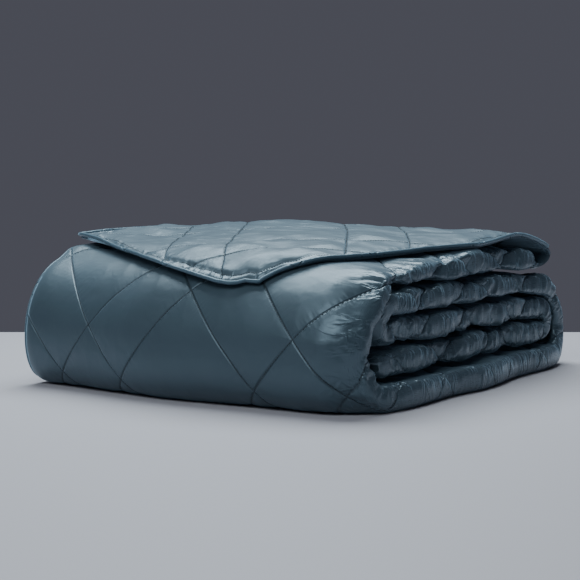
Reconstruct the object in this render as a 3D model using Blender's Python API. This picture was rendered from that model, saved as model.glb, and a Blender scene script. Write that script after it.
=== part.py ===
"""A quilted blanket, folded in half and then into a flat roll of five layers, with its last end turned back on top.

The blanket is one solid. Its section, in the plane of y and z, is one path that winds from the innermost layer
outwards, over the top, and back again as the turned flap. Round its edges runs a narrow sewn binding.
Metres, +Z up. The layers' rounded folds are at +X, the bound edges at -X, and the smooth long fold faces -Y.
"""

import math
from collections import namedtuple

import bmesh
import bpy
import numpy as np

# The folded bundle
FOLD_END_X = 0.250      # the rounded folds
BOUND_END_X = -0.250    # the bound edges
BAND = 0.033            # thickness of the innermost layer, which is the blanket doubled
FLAP = 0.012            # thickness of the single sheet turned back on top
HEM = 0.005             # thickness of the flattened edge that the binding holds
PART = 0.028            # how deep the two sheets part at the bound end
ROUND_BY = 0.016        # how far a layer's fold rounds off, and how far the bound edges taper
SQUARE = 0.75           # 1 for an elliptical fold, and less for a squarer one
SIDE_HEM = 0.006        # width of the flap's flattened side edge
WAVER = 0.0030          # how unevenly the rounded folds reach out
WAVER_TURN = 31.0

# The quilting: two crossing families of seams, in pairs, at 45 degrees to the folds.
# Where the quilting shows, rings and columns of points stand one step apart, so that each seam meets them.
STEP = 0.018
SEAM_PERIOD = 17 * STEP
SEAM_PAIR = 6 * STEP
FIRST_RING = 0.011      # distance of one ring of points from the front foot
RISING_SEAM = FIRST_RING + 7 * STEP    # x + s of one rising seam, s being the way up the cloth from the foot
FALLING_SEAM = -FIRST_RING - 11 * STEP  # x - s of one falling seam
FLAP_SEAMS = (-0.042, -0.006)  # where the flap's own two families lie
FLAP_TURN = math.radians(32)  # how far the flap's seams are turned from the bundle's length
SEAM_DEPTH = 0.0048
FLAP_SEAM_DEPTH = 0.0028
SEAM_WIDTH = 0.012

# The binding, a sewn strip with a cord in it
BINDING_WIDE = 0.0055
BINDING_THICK = 0.0062
BINDING_SIDES = 6
SEWN_GAP = 0.0003

# How finely the skin is divided
COLUMNS = 26            # across the bundle, where the quilting shows, and half as many elsewhere
ROUND = (-60, -30, 0, 30, 60)  # degrees round a layer's fold
PATH_STEP = 0.002

# The section, from the innermost end outwards. A run is straight, and a bend is a piece of an ellipse.
# A row's rings are counted, or 0 where they keep to the quilting. Fold is how far its rounded end reaches.
Run = namedtuple("Run", "to_y to_z thick fold rings")
Bend = namedtuple("Bend", "centre_y centre_z reach rise from_deg to_deg thick fold rings")
START = (0.006, 0.0535)
INNER_LAYERS = (
    Run(0.484, 0.0535, 0.033, 0.250, 11),
    Bend(0.484, 0.0712, 0.0177, 0.0177, -90, 90, 0.033, 0.249, 6),
    Run(0.043, 0.0889, 0.033, 0.249, 10),
    Bend(0.043, 0.1062, 0.0173, 0.0173, 270, 90, 0.031, 0.250, 6),
    Run(0.455, 0.1235, 0.031, 0.252, 9),
    Bend(0.455, 0.0600, 0.0920, 0.0635, 90, 0, 0.031, 0.254, 0),
    Bend(0.500, 0.0600, 0.0470, 0.0430, 0, -90, 0.034, 0.262, 4),
    Run(0.220, 0.0170, 0.034, 0.274, 6),
    Run(0.000, 0.0170, 0.034, 0.262, 5),
)
OUTER_LAYERS = (
    Bend(0.000, 0.0600, 0.0245, 0.0430, 270, 180, 0.025, 0.253, 0),
    Bend(0.063, 0.0600, 0.0875, 0.0920, 180, 90, 0.022, 0.250, 0),
    Run(0.230, 0.1585, 0.035, 0.252, 0),
    Run(0.300, 0.1585, 0.034, 0.252, 0),
    Run(0.400, 0.1585, 0.034, 0.250, 2),
    Run(0.458, 0.1520, 0.022, 0.248, 2),
    Bend(0.458, 0.1680, 0.0500, 0.0160, -90, 0, 0.014, 0.247, 4),
)
FLAP_LAYERS = (
    Bend(0.380, 0.1680, 0.1280, 0.0205, 0, 90, 0.012, 0, 0),
    Run(0.230, 0.1848, 0.012, 0, 0),
    Run(0.063, 0.1722, 0.010, 0, 0),
    Bend(0.063, 0.0600, 0.1060, 0.1122, 90, 140, 0.010, 0, 0),
)
FLAP_RINGS = 27
FRONT_HEM = 0.020       # how far in from the flap's front edge it thins to the hem

# How far the flap's front edge stays short of the path's end, from the bound end to its corner
FrontPoint = namedtuple("FrontPoint", "x short")
FLAP_FRONT = (
    FrontPoint(-0.250, 0.108),
    FrontPoint(-0.170, 0.082),
    FrontPoint(-0.124, 0.063),
    FrontPoint(-0.082, 0.048),
    FrontPoint(-0.028, 0.031),
    FrontPoint(0.018, 0.018),
    FrontPoint(0.058, 0.008),
    FrontPoint(0.110, 0.000),
)

# The flap's right edge, from the corner that hangs over the front to the back fold
EdgePoint = namedtuple("EdgePoint", "y x")
FLAP_EDGE = (
    EdgePoint(-0.040, 0.092),
    EdgePoint(-0.016, 0.112),
    EdgePoint(0.015, 0.150),
    EdgePoint(0.051, 0.176),
    EdgePoint(0.107, 0.194),
    EdgePoint(0.190, 0.212),
    EdgePoint(0.225, 0.232),
    EdgePoint(0.260, 0.244),
    EdgePoint(0.500, 0.247),
)

# How the bundle gives way: it is fuller in the middle, lower at the back and bowed at the front,
# and its top peaks at the front of the bound end
CROWN = 0.050
CROWN_X = -0.06
DROOP = 0.080
BOW = 0.031
PEAK = 0.011
WAVE = 0.0025
TOP_Z = 0.170

Ring = namedtuple("Ring", "keys points relief")
Edge = namedtuple("Edge", "centres outwards upwards")

# A key says where a point stands in its ring, from 0 at the slit between the sheets, once round by the fold, to 1
SLIT, SLIT_SIDE, HEM_SIDE, SHOULDER, FLAT_FROM, FLAT_TO, ROUND_FROM = 0.0, 0.02, 0.03, 0.04, 0.05, 0.45, 0.46
SAME_KEY = 1e-9


def smooth(value, start, end):
    """0 before start, 1 after end, and an even curve between them."""
    t = np.clip((value - start) / (end - start), 0.0, 1.0)
    return t * t * (3 - 2 * t)


def unit(vectors):
    return vectors / np.linalg.norm(vectors, axis=-1, keepdims=True)


def settle(points):
    """Gives the straight layers the shape of a soft bundle. What lies on the floor stays there."""
    x, y, z = points.T
    crown = 1 + CROWN * (1 - ((x - CROWN_X) / (FOLD_END_X - CROWN_X)) ** 2)
    droop = 1 - DROOP * smooth(y, 0.36, 0.56)
    wave = WAVE * np.sin(14 * x + 9 * y) * np.clip(z / TOP_Z, 0, 1)
    bow = BOW * smooth(x, -0.26, 0.0) * (1 - smooth(x, 0.20, 0.265)) * (1 - smooth(y, -0.04, 0.30))
    peaked = PEAK * smooth(-x, 0.12, 0.25) * smooth(z, 0.135, 0.160)
    peak = peaked * smooth(y, 0.030, 0.065) * (1 - smooth(y, 0.12, 0.36))
    return np.stack([x, y - bow, z * crown * droop + wave + peak], axis=1)


def trace(row, start):
    """Points along one row of the section, after its start."""
    if isinstance(row, Run):
        end = np.array([row.to_y, row.to_z])
        count = max(2, round(float(np.linalg.norm(end - start)) / PATH_STEP))
        return start + (end - start) * np.arange(1, count + 1)[:, None] / count
    sweep = math.radians(row.to_deg - row.from_deg)
    count = max(6, round(abs(sweep) * max(row.reach, row.rise) / PATH_STEP))
    turns = math.radians(row.from_deg) + sweep * np.arange(1, count + 1) / count
    return np.stack([row.centre_y + row.reach * np.cos(turns), row.centre_z + row.rise * np.sin(turns)], axis=1)


class Path:
    """A line in the plane of y and z, with its length, normal, thickness and rounded end all along it."""

    def __init__(self, start, rows, thick):
        points, values, self.ends = [np.array([start])], [np.array([[thick, rows[0].fold]])], [0]
        for row in rows:
            way = trace(row, points[-1][-1])
            values.append(np.linspace(values[-1][-1], (row.thick, row.fold), len(way) + 1)[1:])
            points.append(way)
            self.ends.append(self.ends[-1] + len(way))
        self.points, self.values = np.concatenate(points), np.concatenate(values)
        ways = unit(np.gradient(self.points, axis=0))
        self.normals = np.stack([-ways[:, 1], ways[:, 0]], axis=1)
        steps = np.linalg.norm(np.diff(self.points, axis=0), axis=1)
        self.lengths = np.concatenate([[0.0], np.cumsum(steps)])
        self.total = self.lengths[-1]

    def row_lengths(self, index):
        """Where a row of the table starts and ends."""
        return self.lengths[self.ends[index]], self.lengths[self.ends[index + 1]]

    def at(self, where):
        """(spots, normals, thicknesses, rounded ends) at these lengths along the path."""
        spots = [np.interp(where, self.lengths, self.points[:, k]) for k in (0, 1)]
        normals = [np.interp(where, self.lengths, self.normals[:, k]) for k in (0, 1)]
        thick, fold = (np.interp(where, self.lengths, self.values[:, k]) for k in (0, 1))
        return np.stack(spots, axis=-1), np.stack(normals, axis=-1), thick, fold


def seam_relief(first, second, offsets):
    """1 on a seam and 0 between seams, where first and second are the two families' own coordinates."""
    nearest = np.full(np.shape(first), SEAM_PERIOD)
    for value, offset in ((first, offsets[0]), (second, offsets[1])):
        for shift in (0.0, SEAM_PAIR):
            away = (value - offset - shift + SEAM_PERIOD / 2) % SEAM_PERIOD - SEAM_PERIOD / 2
            nearest = np.minimum(nearest, np.abs(away) / math.sqrt(2))
    return np.exp(-((nearest / SEAM_WIDTH) ** 2))


def flap_relief(x, y):
    """The flap's own quilting, turned with its corner."""
    across = x * math.cos(FLAP_TURN) + y * math.sin(FLAP_TURN)
    along = -x * math.sin(FLAP_TURN) + y * math.cos(FLAP_TURN)
    return seam_relief(across * math.sqrt(2), along * math.sqrt(2), FLAP_SEAMS)


def side_columns(fine, flat_to):
    """(key, x) of one side's columns, from the bound end to the fold."""
    flat_from = BOUND_END_X + ROUND_BY
    shares = np.arange(0, COLUMNS + 1, 1 if fine else 2) / COLUMNS
    return [(FLAT_FROM + (FLAT_TO - FLAT_FROM) * s, flat_from + (flat_to - flat_from) * s) for s in shares]


def fold_points(half, flat_to, right, hemmed):
    """(key, x, offset) round the end of a layer, which hemmed turns from a round fold, 0, into a flat hem, 1."""
    hem_offsets = (-0.75 * half, -HEM / 2, 0.0, HEM / 2, 0.75 * half)
    hem_x = (right - SIDE_HEM, right, right, right, right - SIDE_HEM)
    points = []
    for k, degrees in enumerate(ROUND):
        out, up = math.cos(math.radians(degrees)), math.sin(math.radians(degrees))
        key = ROUND_FROM + (1 - 2 * ROUND_FROM) * k / (len(ROUND) - 1)
        x = flat_to + (right - flat_to) * out ** SQUARE
        offset = half * math.copysign(abs(up) ** SQUARE, up)
        points.append((key, x + (hem_x[k] - x) * hemmed, offset + (hem_offsets[k] - offset) * hemmed))
    return points


def cross_section(thick, flat_to, right, parted, hemmed, fine_low, fine_high):
    """One ring round a layer: each point's key, x and offset from the middle of the layer.

    The layer is flat as far as flat_to, and parted is how open the slit is at the bound end, from 0 to 1.
    """
    half, middle = thick / 2, parted * thick / 4
    bound = [
        (SLIT_SIDE, BOUND_END_X, max(middle - HEM / 2, HEM / 4)),
        (HEM_SIDE, BOUND_END_X, middle + HEM / 2),
        (SHOULDER, BOUND_END_X + ROUND_BY / 2, half * (0.72 + 0.14 * parted)),
    ]
    low = bound + [(key, x, half) for key, x in side_columns(fine_low, flat_to)]
    high = bound + [(key, x, half) for key, x in side_columns(fine_high, flat_to)]
    slit = [(SLIT, BOUND_END_X + PART * parted, 0.0)]
    lower = [(key, x, -offset) for key, x, offset in low]
    upper = [(1 - key, x, offset) for key, x, offset in reversed(high)]
    return np.array(slit + lower + fold_points(half, flat_to, right, hemmed) + upper).T


def place(x, spots, normals, offset):
    """Points in space, from the section's spots and normals in the plane of y and z."""
    return np.stack([x, spots[..., 0] + normals[..., 0] * offset, spots[..., 1] + normals[..., 1] * offset], axis=-1)


def layer_stations(path, rows, foot):
    """(length, whether the quilting shows) of each ring of the layers."""
    stations = []
    for index, row in enumerate(rows):
        start, end = path.row_lengths(index)
        if row.rings:
            stations += [(start + (end - start) * k / row.rings, False) for k in range(row.rings)]
        else:
            first = math.ceil((start - foot - FIRST_RING) / STEP)
            last = math.ceil((end - foot - FIRST_RING) / STEP)
            stations += [(foot + FIRST_RING + STEP * k, True) for k in range(first, last)]
    return stations + [(path.total, False)]


def layer_rings(path, rows, foot):
    """The rings of the five layers, from the innermost end to the back fold."""
    rings = []
    for length, fine in layer_stations(path, rows, foot):
        spot, normal, thick, fold = path.at(length)
        parted = float(smooth(length, 0.0, 0.03) * (1 - smooth(length, path.total - 0.10, path.total)))
        hemmed = float(smooth(length, path.total - 0.07, path.total))
        right = fold + WAVER * math.sin(WAVER_TURN * length) * (1 - hemmed)
        keys, x, offset = cross_section(thick, fold - ROUND_BY, right, parted, hemmed, False, fine)
        climb = length - foot
        shows = smooth(climb, -0.92, -0.84) * (1 - smooth(climb, -0.62, -0.56)) + smooth(climb, 0.0, 0.04)
        relief = seam_relief(x + climb, x - climb, (RISING_SEAM, FALLING_SEAM))
        outer = (keys >= 1 - FLAT_TO) & (keys <= 1 - FLAT_FROM)
        relief = np.where(outer & fine, relief * shows, 0.0)
        points = settle(place(x, spot, normal, offset - SEAM_DEPTH * relief))
        rings.append(Ring(keys, points, relief))
    return rings


def flap_rings(path):
    """The rings of the turned flap. Its front edge runs askew, so each ring follows the path by its own length."""
    rings = []
    for step in range(1, FLAP_RINGS + 1):
        share = step / FLAP_RINGS
        reach = path.total * share
        right = np.interp(path.at(reach)[0][0], [e.y for e in FLAP_EDGE], [e.x for e in FLAP_EDGE])
        keys, x, offset = cross_section(FLAP, right - ROUND_BY, right, 0.0, 1.0, True, step >= FLAP_RINGS - 1)
        short = np.interp(x, [p.x for p in FLAP_FRONT], [p.short for p in FLAP_FRONT])
        spots, normals, thick, _ = path.at((path.total - short) * share)
        to_front = path.total * (1 - share)
        thin = HEM + (thick - HEM) * smooth(to_front, 0.0, FRONT_HEM)
        offset = offset * np.where(np.abs(offset) > HEM / 2 + SEWN_GAP, thin / FLAP, 1.0)
        outer = (keys >= FLAT_FROM) & (keys <= FLAT_TO) & (to_front > FRONT_HEM)
        relief = np.where(outer, flap_relief(x, spots[:, 0]), 0.0)
        points = settle(place(x, spots, normals, offset + FLAP_SEAM_DEPTH * relief))
        rings.append(Ring(keys, points, relief))
    return rings


def next_key(keys, index):
    """The key of the point after this one, once round at most."""
    if index >= len(keys):
        return 2.0
    return keys[index + 1] if index + 1 < len(keys) else 1.0


def zip_rings(mesh, ring_a, ring_b, row_a, row_b):
    """Triangles between two rings' rows of vertices, in the order of their keys, with edges along the seams."""
    a, b = 0, 0
    while a < len(row_a) or b < len(row_b):
        ahead = next_key(ring_a.keys, a) - next_key(ring_b.keys, b)
        from_a, from_b = a % len(row_a), b % len(row_b)
        to_a, to_b = (a + 1) % len(row_a), (b + 1) % len(row_b)
        forward = ring_a.relief[from_a] + ring_b.relief[to_b]
        backward = ring_a.relief[to_a] + ring_b.relief[from_b]
        if ahead < -SAME_KEY or (ahead < SAME_KEY and backward > forward):
            mesh.faces.new((row_a[from_a], row_a[to_a], row_b[from_b]))
            a += 1
            if ahead > -SAME_KEY:
                mesh.faces.new((row_a[to_a], row_b[to_b], row_b[from_b]))
                b += 1
        else:
            mesh.faces.new((row_a[from_a], row_b[to_b], row_b[from_b]))
            b += 1
            if ahead < SAME_KEY:
                mesh.faces.new((row_a[from_a], row_a[to_a], row_b[to_b]))
                a += 1


def cap_ring(mesh, row):
    """Closes a ring whose two sides have as many points as each other."""
    low, high = 1, len(row) - 1
    mesh.faces.new((row[0], row[low], row[high]))
    while high - low > 2:
        mesh.faces.new((row[low], row[low + 1], row[high - 1], row[high]))
        low, high = low + 1, high - 1
    mesh.faces.new((row[low], row[low + 1], row[high]))


def make_object(name, mesh, material):
    bmesh.ops.recalc_face_normals(mesh, faces=mesh.faces)
    data = bpy.data.meshes.new(name)
    mesh.to_mesh(data)
    mesh.free()
    data.materials.append(material)
    data.shade_smooth()
    data.set_sharp_from_angle(angle=math.radians(50))
    obj = bpy.data.objects.new(name, data)
    bpy.context.scene.collection.objects.link(obj)
    return obj


def make_quilt(rings, material):
    mesh = bmesh.new()
    rows = [[mesh.verts.new(p) for p in ring.points] for ring in rings]
    for ring_a, ring_b, row_a, row_b in zip(rings, rings[1:], rows, rows[1:]):
        zip_rings(mesh, ring_a, ring_b, row_a, row_b)
    cap_ring(mesh, rows[0])
    cap_ring(mesh, rows[-1])
    return make_object("quilt", mesh, material)


def mitred(edges, corners):
    """The edges in a row, with a mitred point at the cloth's corner where each meets the next."""
    joined = [edges[0]]
    for edge, corner in zip(edges[1:], corners):
        out_a, out_b = joined[-1].outwards[-1], edge.outwards[0]
        both = (out_a + out_b) / (1 + out_a @ out_b)
        centre = corner + both * (BINDING_WIDE / 2 + SEWN_GAP)
        joined += [Edge(centre[None], both[None], joined[-1].upwards[-1:]), edge]
    return joined


def make_binding(name, edges, corners, material):
    """A binding beside a row of edges. Its section is a six-sided oval."""
    wide = BINDING_WIDE / 2 / math.cos(math.pi / BINDING_SIDES)
    turns = [2 * math.pi * (k + 0.5) / BINDING_SIDES for k in range(BINDING_SIDES)]
    centres, outwards, upwards = [np.concatenate(parts) for parts in zip(*mitred(edges, corners))]
    mesh = bmesh.new()
    rows = []
    for centre, out, up in zip(centres, outwards, upwards):
        corners = [centre + out * wide * math.cos(t) + up * BINDING_THICK / 2 * math.sin(t) for t in turns]
        rows.append([mesh.verts.new(p) for p in corners])
    for one, two in zip(rows, rows[1:]):
        for k in range(BINDING_SIDES):
            beside = (k + 1) % BINDING_SIDES
            mesh.faces.new((one[k], one[beside], two[beside], two[k]))
    mesh.faces.new(rows[0])
    mesh.faces.new(rows[-1])
    return make_object(name, mesh, material)


def edge_beside(low, high, inside):
    """Where a binding lies beside a hem, given the hem's two lines of points and points further in the cloth."""
    middle = (low + high) / 2
    along = unit(np.gradient(middle, axis=0))
    up = unit(high - low)
    out = middle - inside
    out = out - along * (out * along).sum(axis=1)[:, None]
    out = unit(out - up * (out * up).sum(axis=1)[:, None])
    return Edge(middle + out * (BINDING_WIDE / 2 + SEWN_GAP), out, up)


def pick(rings, key):
    """The point at this key in each ring."""
    return np.array([ring.points[int(np.argmin(np.abs(ring.keys - key)))] for ring in rings])


def make_bindings(layers, flap, material):
    """The binding of the two sheets' side edges, wound with the layers, and of the flap's three edges."""
    wound = layers[2:-4]
    outer = edge_beside(pick(wound, 1 - SLIT_SIDE), pick(wound, 1 - HEM_SIDE), pick(wound, 1 - FLAT_FROM))
    inner = edge_beside(pick(wound, HEM_SIDE), pick(wound, SLIT_SIDE), pick(wound, FLAT_FROM))
    make_binding("binding_outer_sheet", [outer], [], material)
    make_binding("binding_inner_sheet", [inner], [], material)

    hem_low, hem_high = (ROUND_FROM + (1 - 2 * ROUND_FROM) * k / (len(ROUND) - 1) for k in (1, 3))
    side = edge_beside(pick(flap, hem_low), pick(flap, hem_high), pick(flap, FLAT_TO))
    keys = [FLAT_FROM + (FLAT_TO - FLAT_FROM) * k / COLUMNS for k in range(COLUMNS, -1, -1)]
    front_low = np.array([pick(flap[-1:], key)[0] for key in keys])
    front_high = np.array([pick(flap[-1:], 1 - key)[0] for key in keys])
    front_inside = np.array([pick(flap[-3:-2], key)[0] for key in keys])
    front = edge_beside(front_low, front_high, front_inside)
    back = flap[::-1]
    left = edge_beside(pick(back, HEM_SIDE), pick(back, 1 - HEM_SIDE), pick(back, FLAT_FROM))
    corners = [pick(flap[-1:], key)[0] for key in (0.5, SLIT)]
    make_binding("binding_flap", [side, front, left], corners, material)


def make_material(name, colour, roughness):
    material = bpy.data.materials.new(name)
    material.use_nodes = True
    shader = material.node_tree.nodes["Principled BSDF"]
    shader.inputs["Base Color"].default_value = (*colour, 1)
    shader.inputs["Roughness"].default_value = roughness
    shader.inputs["Metallic"].default_value = 0
    return material


def centred(layers, flap):
    """The same rings, with the middle of the bundle over the origin."""
    points = np.concatenate([ring.points for ring in layers + flap])
    lowest = points.min(axis=0) - (BINDING_WIDE + SEWN_GAP, 0, 0)
    shift = -(lowest + points.max(axis=0)) / 2 * (1, 1, 0)
    moved = [Ring(ring.keys, ring.points + shift, ring.relief) for ring in layers + flap]
    return moved[:len(layers)], moved[len(layers):]


def main():
    for obj in list(bpy.data.objects):
        bpy.data.objects.remove(obj)
    cloth = make_material("satin_cloth", (0.080, 0.125, 0.145), 0.38)
    trim = make_material("satin_binding", (0.085, 0.130, 0.150), 0.42)

    rows = INNER_LAYERS + OUTER_LAYERS
    path = Path(START, rows, BAND)
    foot = path.row_lengths(len(INNER_LAYERS))[0]
    turned = Path(tuple(path.points[-1]), FLAP_LAYERS, path.values[-1][0])
    layers, flap = centred(layer_rings(path, rows, foot), flap_rings(turned))
    make_quilt(layers + flap, cloth)
    make_bindings(layers, flap, trim)


main()
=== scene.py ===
"""The look of a folded, quilted satin blanket: padded layers, turned flap, corded binding and stitches."""

import math
from collections import namedtuple

import bmesh
import bpy
import numpy as np
from mathutils import Matrix, Vector


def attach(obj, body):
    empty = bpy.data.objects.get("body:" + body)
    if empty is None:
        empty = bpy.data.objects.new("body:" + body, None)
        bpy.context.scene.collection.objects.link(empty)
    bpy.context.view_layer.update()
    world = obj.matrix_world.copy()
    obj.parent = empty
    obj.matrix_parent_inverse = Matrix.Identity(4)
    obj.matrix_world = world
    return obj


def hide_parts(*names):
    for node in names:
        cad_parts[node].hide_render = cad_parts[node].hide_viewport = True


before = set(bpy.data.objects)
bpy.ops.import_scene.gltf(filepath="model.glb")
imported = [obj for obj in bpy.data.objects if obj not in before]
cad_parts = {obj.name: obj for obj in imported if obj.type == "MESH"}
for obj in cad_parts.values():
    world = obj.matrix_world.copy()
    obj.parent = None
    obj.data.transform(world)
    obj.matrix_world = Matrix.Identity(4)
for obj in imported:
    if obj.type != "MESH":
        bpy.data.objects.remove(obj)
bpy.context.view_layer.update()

# The folded bundle, in metres, drawn about the front foot of its right end
ORIGIN = np.array([-0.0096, -0.2472, 0.0])  # where that drawing's own origin lies in the frame
FOLD_END_X = 0.250
BOUND_END_X = -0.250
HEM = 0.005             # how thick a sheet is at its bound edge
PART = 0.028            # how deep the two sheets of a layer part at the bound end
ROUND_BY = 0.016        # how far a layer's rounded end reaches beyond its flat part
FLAT_END = FOLD_END_X - ROUND_BY
ROUND_LENGTH = 0.024    # length of cloth in half of a rounded end
SQUARE = 0.66           # below 1, a rounded end is squarer than an ellipse
WAVER = 0.0030          # how unevenly the rounded ends lie above each other
WAVER_TURN = 31.0

# The quilting. Along a rising seam x + s is even, and along a falling one x - s, with s the way up.
SEAM_PERIOD = 0.306
SEAM_PAIR = 0.108
RISING_SEAM = 0.137
FALLING_SEAM = -0.209
FLAP_SEAMS = (-0.042, -0.006)
FLAP_TURN = math.radians(32)

# The layers, as in the solids: a run is straight, and a bend is a piece of an ellipse
Run = namedtuple("Run", "to_y to_z thick fold")
Bend = namedtuple("Bend", "centre_y centre_z reach rise from_deg to_deg thick fold")
START = (0.006, 0.0535)
BAND = 0.033
INNER_LAYERS = (
    Run(0.484, 0.0535, 0.033, 0.250),
    Bend(0.484, 0.0712, 0.0177, 0.0177, -90, 90, 0.033, 0.249),
    Run(0.043, 0.0889, 0.033, 0.249),
    Bend(0.043, 0.1062, 0.0173, 0.0173, 270, 90, 0.031, 0.250),
    Run(0.455, 0.1235, 0.031, 0.252),
    Bend(0.455, 0.0600, 0.0920, 0.0635, 90, 0, 0.031, 0.254),
    Bend(0.500, 0.0600, 0.0470, 0.0430, 0, -90, 0.034, 0.262),
    Run(0.220, 0.0170, 0.034, 0.274),
    Run(0.000, 0.0170, 0.034, 0.262),
)
OUTER_LAYERS = (
    Bend(0.000, 0.0600, 0.0245, 0.0430, 270, 180, 0.025, 0.253),
    Bend(0.063, 0.0600, 0.0875, 0.0920, 180, 90, 0.022, 0.250),
    Run(0.230, 0.1585, 0.035, 0.252),
    Run(0.300, 0.1585, 0.034, 0.252),
    Run(0.400, 0.1585, 0.034, 0.250),
    Run(0.458, 0.1520, 0.022, 0.248),
    Bend(0.458, 0.1680, 0.0500, 0.0160, -90, 0, 0.014, 0.247),
)
FLAP_LAYERS = (
    Bend(0.380, 0.1680, 0.1280, 0.0205, 0, 90, 0.012, 0),
    Run(0.230, 0.1848, 0.012, 0),
    Run(0.063, 0.1722, 0.010, 0),
    Bend(0.063, 0.0600, 0.1060, 0.1122, 90, 140, 0.010, 0),
)

# The turned flap: how much shorter its front is at each x, and how far its right edge reaches at each y
FRONT_HEM = 0.020       # how far from its edges the flap thins
FrontPoint = namedtuple("FrontPoint", "x short")
FLAP_FRONT = (
    FrontPoint(-0.250, 0.108),
    FrontPoint(-0.170, 0.082),
    FrontPoint(-0.124, 0.063),
    FrontPoint(-0.082, 0.048),
    FrontPoint(-0.028, 0.031),
    FrontPoint(0.018, 0.018),
    FrontPoint(0.058, 0.008),
    FrontPoint(0.074, 0.007),
    FrontPoint(0.084, 0.009),
    FrontPoint(0.092, 0.014),
)
EdgePoint = namedtuple("EdgePoint", "y x")
FLAP_EDGE = (
    EdgePoint(-0.040, 0.092),
    EdgePoint(-0.016, 0.112),
    EdgePoint(0.015, 0.150),
    EdgePoint(0.051, 0.176),
    EdgePoint(0.107, 0.194),
    EdgePoint(0.190, 0.212),
    EdgePoint(0.225, 0.232),
    EdgePoint(0.260, 0.244),
    EdgePoint(0.500, 0.247),
)

# How the bundle settles: crowned, drooping behind, bowed in front, wavy, and raised at the flap's left end
CROWN = 0.050
CROWN_X = -0.06
DROOP = 0.080
BOW = 0.031
PEAK = 0.011
WAVE = 0.0025
WAVES_X = 14
WAVES_Y = 9
TOP_Z = 0.170
SIDE_DROP = 0.005       # how far the flap's right edge sinks towards the layer below
NOSE = 0.018            # how far the innermost end of the layers rounds off

# How finely the pieces are divided. Grid steps fit the quilting, so each seam runs through its points.
PATH_STEP = 0.002
GRID = 0.003
FIRST_RING = 0.011
COARSE = 0.030
STRETCH_FROM = 0.180    # beyond it, the columns are spread as far as the layer's own fold
FOLD_STEPS = 8
INNER_FINE = 0.195      # the hidden faces are fine only beyond it
FLAP_STEP = 0.0056
FLAP_COARSE = 0.03
FLAP_EDGE_STEPS = (0.0, 0.005, 0.010, 0.016, 0.022, 0.028, 0.034)
SHARP_ANGLE = math.radians(70)
LAYER_SEED = 20
FLAP_SEED = 5

# The cloth that swells the padding
Puff = namedtuple("Puff", "growth pressure most")
LAYER_PUFF = Puff(0.06, 0.4, 0.004)
FLAP_PUFF = Puff(0.03, 0.3, 0.003)
PUFF_FRAMES = 9
PUFF_QUALITY = 4
PUFF_MASS = 0.02
PUFF_STIFF = 12
PUFF_SHEAR = 4
PUFF_BENDING = 0.05
PUFF_DAMPING = 2
WEIGHT_LEVELS = 8

# Stitches and bindings
HEM_ROW = 0.009         # the row of stitches along the flap's edges
STITCH_PITCH = 0.0033
STITCH_LONG = 0.0025
STITCH_WIDE = 0.0010
STITCH_FLAT = 0.4       # half of a stitch's thickness, as a share of its width
BINDING_WIDE = 0.0044
BINDING_THICK = 0.0052
BINDING_SUNK = 0.0004
BINDING_STEP = 0.004
BINDING_SIDES = 10

# Finishes: colours, shine, and the heights of what the materials raise
CLOTH_COLOUR = (0.043, 0.067, 0.083)
TRIM_COLOUR = (0.060, 0.104, 0.135)
THREAD_COLOUR = (0.012, 0.018, 0.022)
CLOTH_ROUGHNESS = 0.45
TRIM_ROUGHNESS = 0.40
THREAD_ROUGHNESS = 0.45
GATHERED_SHINE = 0.16
THREADS_SHINE = 0.12
SPECULAR_TINT = (0.66, 0.86, 1.0, 1)
SHEEN_TINT = (0.54, 0.79, 1.0, 1)
TONE_SPREAD = 0.18
THREAD_SPREAD = 0.2
# how dark the painted shade in the seams' grooves makes the satin's colour
SEAM_SHADE_TONE = 0.35
GROOVE_WIDE = 0.0022
GROOVE_DEEP = 0.0010
PUCKER_HIGH = 0.0020
FOLD_HIGH = 0.0013
CREASE_HIGH = 0.00008
THREADS_HIGH = 0.000012

# The studio: the floor reaches this far behind the middle of the blanket, away from the camera
FLOOR_HALF = 3.0
FLOOR_FAR = 0.575
FLOOR_COLOUR = (0.44, 0.42, 0.45)
FLOOR_ROUGHNESS = 0.6
BACKDROP_COLOUR = (0.074, 0.076, 0.096)
LIGHT_AIM = (0, 0, 0.1)
SoftLight = namedtuple("SoftLight", "name spot size power colour")
LIGHTS = (
    SoftLight("top_light", (-0.40, 0.40, 1.60), (2.0, 1.3), 56, (0.82, 0.94, 1.0)),
    SoftLight("fill_light", (0.45, -2.1, 2.0), (1.8, 1.2), 36, (0.86, 0.95, 1.0)),
    SoftLight("strip_light", (-1.25, -1.95, 0.95), (0.5, 1.1), 0.8, (0.90, 0.97, 1.0)),
)

# The photograph's camera
CAMERA = np.array([1.0005, -1.3941, 0.2519])
CAMERA_DOWN = math.radians(4.068)
CAMERA_TURN = math.radians(32.0)
LENS = 88.1
SENSOR = 36.0


def smooth(value, start, end):
    """0 before start, 1 after end, and an even curve between them."""
    t = np.clip((value - start) / (end - start), 0.0, 1.0)
    return t * t * (3 - 2 * t)


def unit(vectors):
    return vectors / np.linalg.norm(vectors, axis=-1, keepdims=True)


def noise(u, v, seed):
    """Even, smooth noise from -1 to 1 over u and v, whose features are about one unit wide."""
    rng = np.random.default_rng(seed)
    size = 256
    angles = rng.uniform(0, 2 * math.pi, (size, size))
    cell_u, cell_v = np.floor(u).astype(int), np.floor(v).astype(int)
    part_u, part_v = u - cell_u, v - cell_v
    fade_u, fade_v = (p * p * p * (p * (p * 6 - 15) + 10) for p in (part_u, part_v))

    def corner(du, dv):
        angle = angles[(cell_u + du) % size, (cell_v + dv) % size]
        return np.cos(angle) * (part_u - du) + np.sin(angle) * (part_v - dv)

    low = corner(0, 0) * (1 - fade_u) + corner(1, 0) * fade_u
    high = corner(0, 1) * (1 - fade_u) + corner(1, 1) * fade_u
    return 1.5 * (low * (1 - fade_v) + high * fade_v)


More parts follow.
